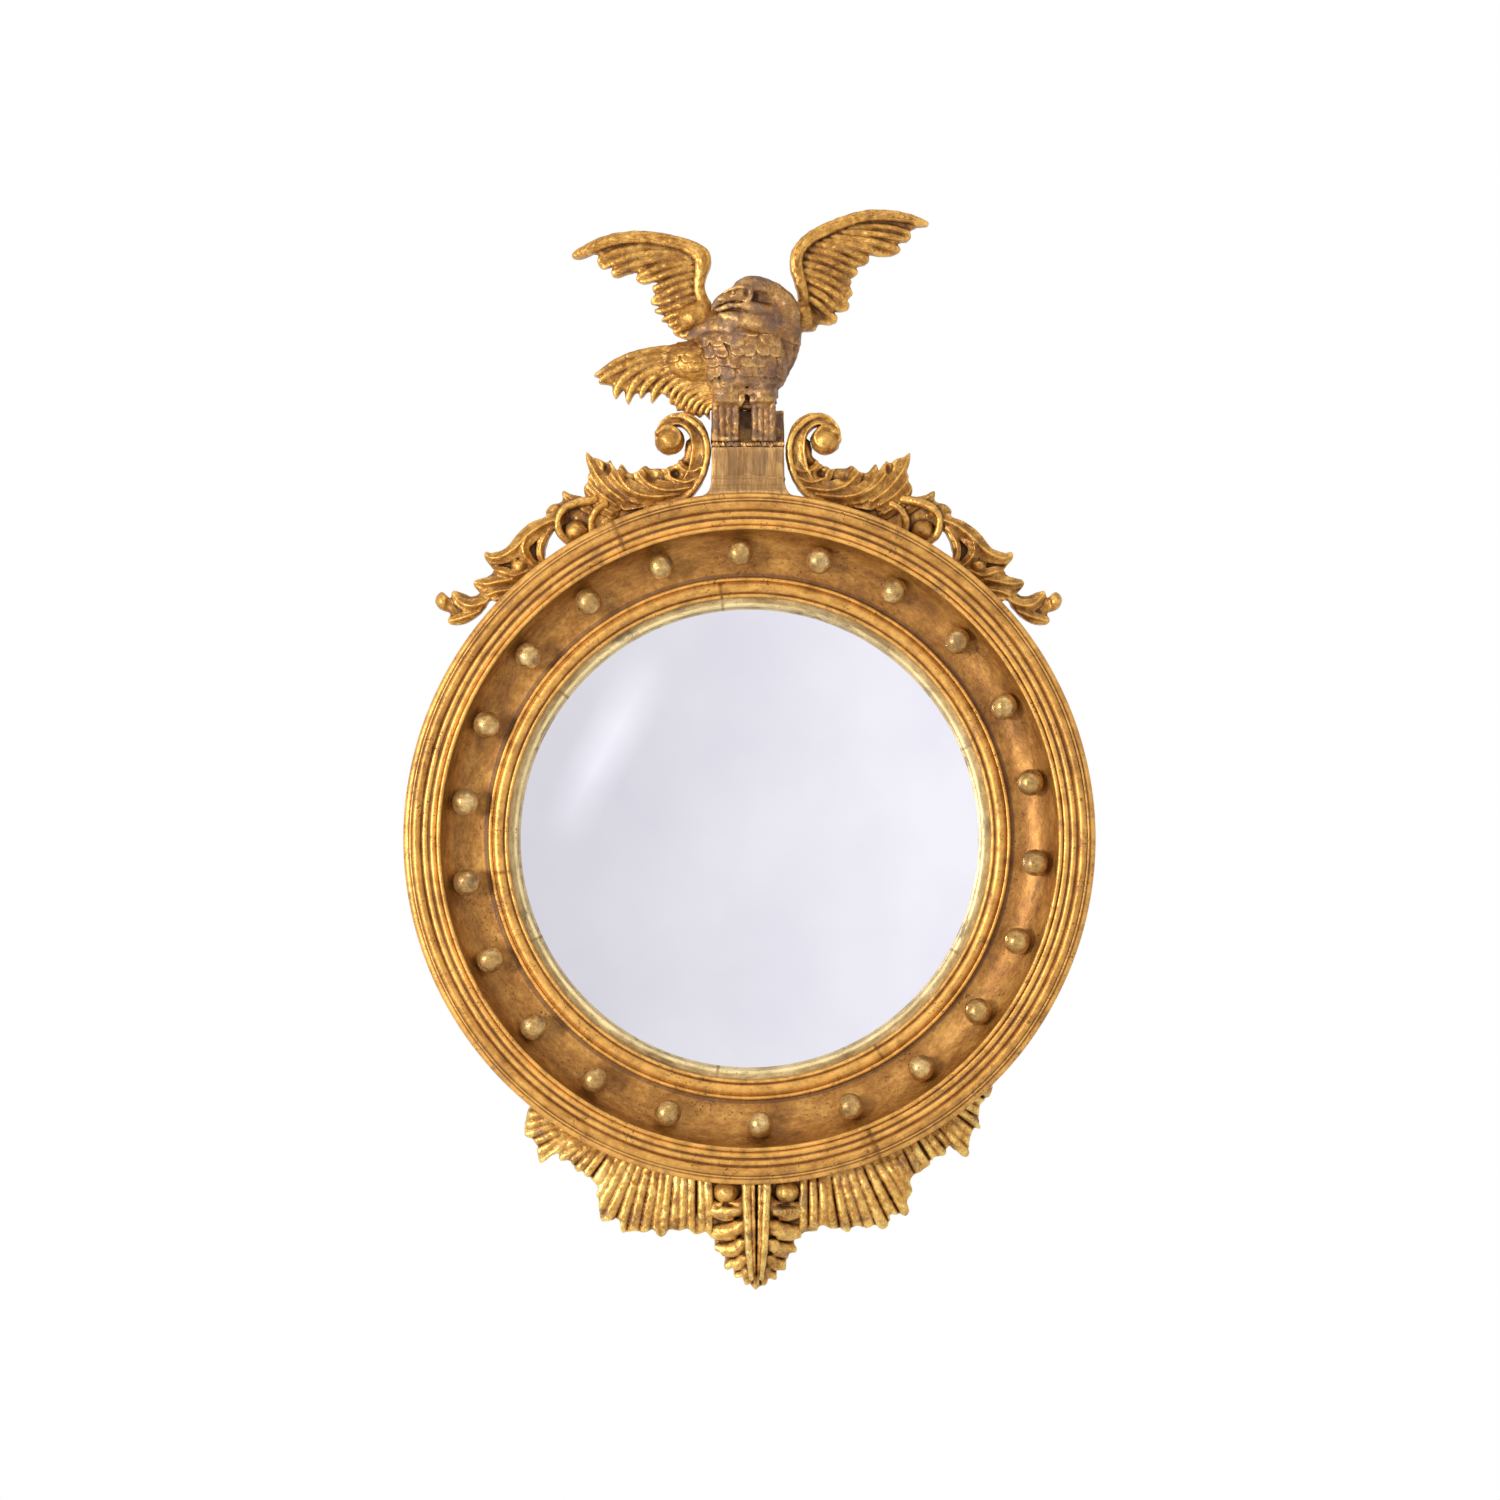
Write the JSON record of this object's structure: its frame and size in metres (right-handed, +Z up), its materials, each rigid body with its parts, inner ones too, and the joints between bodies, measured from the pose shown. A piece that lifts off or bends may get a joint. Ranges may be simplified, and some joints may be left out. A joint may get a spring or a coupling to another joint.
{
  "type": "girandole mirror",
  "caption": "Wall mirror: a round convex glass in a deep gilt frame set with balls, a spread eagle on a plinth and leaf scrolls above, and a fluted leaf apron below.",
  "frame": {"origin": "where the axis of the round frame meets the wall face behind it", "axes": "+Z up, +Y into the wall (the glass faces -Y), +X to the right as seen from the front"},
  "size_m": [0.69, 0.074, 1.0833],
  "materials": {
    "gilt_frame": "antique gilding over brown bole, satin",
    "gilt_carving": "antique gilding over brown bole, dark in the creases",
    "gilt_balls": "antique gilding, speckled",
    "slip_gilding": "pale brushed gilding",
    "mirror_glass": "silvered convex glass",
    "board_wood": "stained plywood",
    "plain_wood": "bare wood",
    "hanger_brass": "satin brass",
    "strap_iron": "black painted strap iron",
    "screw_steel": "plain steel"
  },
  "bodies": {
    "mirror_frame": {"apron_left_fan": "gilt_carving", "apron_pendant": "gilt_carving", "apron_right_fan": "gilt_carving", "backboard_screws": "screw_steel", "backing_board": "board_wood", "carving_dowels": "plain_wood", "convex_glass": "mirror_glass", "cove_ball_01": "gilt_balls", "cove_ball_02": "gilt_balls", "cove_ball_03": "gilt_balls", "cove_ball_04": "gilt_balls", "cove_ball_05": "gilt_balls", "cove_ball_06": "gilt_balls", "cove_ball_07": "gilt_balls", "cove_ball_08": "gilt_balls", "cove_ball_09": "gilt_balls", "cove_ball_10": "gilt_balls", "cove_ball_11": "gilt_balls", "cove_ball_12": "gilt_balls", "cove_ball_13": "gilt_balls", "cove_ball_14": "gilt_balls", "cove_ball_15": "gilt_balls", "cove_ball_16": "gilt_balls", "cove_ball_17": "gilt_balls", "cove_ball_18": "gilt_balls", "cove_ball_19": "gilt_balls", "cove_ball_20": "gilt_balls", "cove_ball_21": "gilt_balls", "cove_ball_22": "gilt_balls", "cove_ring": "gilt_frame", "crest_plinth": "gilt_carving", "crest_strap": "strap_iron", "crest_strap_screws": "screw_steel", "eagle_back_block": "gilt_carving", "eagle_body": "gilt_carving", "eagle_head_neck": "gilt_carving", "eagle_left_leg": "gilt_carving", "eagle_left_wing": "gilt_carving", "eagle_perch": "gilt_carving", "eagle_right_leg": "gilt_carving", "eagle_right_wing": "gilt_carving", "eagle_tail": "gilt_carving", "glass_blocks": "plain_wood", "hanger_screws": "screw_steel", "hanger_strap_left": "hanger_brass", "hanger_strap_right": "hanger_brass", "inner_astragal_ring": "gilt_frame", "left_leaf_spray": "gilt_carving", "left_scroll": "gilt_carving", "outer_reeded_ring": "gilt_frame", "right_leaf_spray": "gilt_carving", "right_scroll": "gilt_carving", "slip_ring": "slip_gilding"},
    "ring_left": {"hanger_ring_left": "hanger_brass"},
    "ring_right": {"hanger_ring_right": "hanger_brass"}
  },
  "joints": [
    {"name": "ring_left_swing", "type": "hinge", "parent": "mirror_frame", "child": "ring_left", "pos_m": [-0.267, -0.005, 0.084], "axis": [1, 0, 0], "range_deg": [0, 180]},
    {"name": "ring_right_swing", "type": "hinge", "parent": "mirror_frame", "child": "ring_right", "pos_m": [0.267, -0.005, 0.084], "axis": [1, 0, 0], "range_deg": [0, 180]}
  ]
}
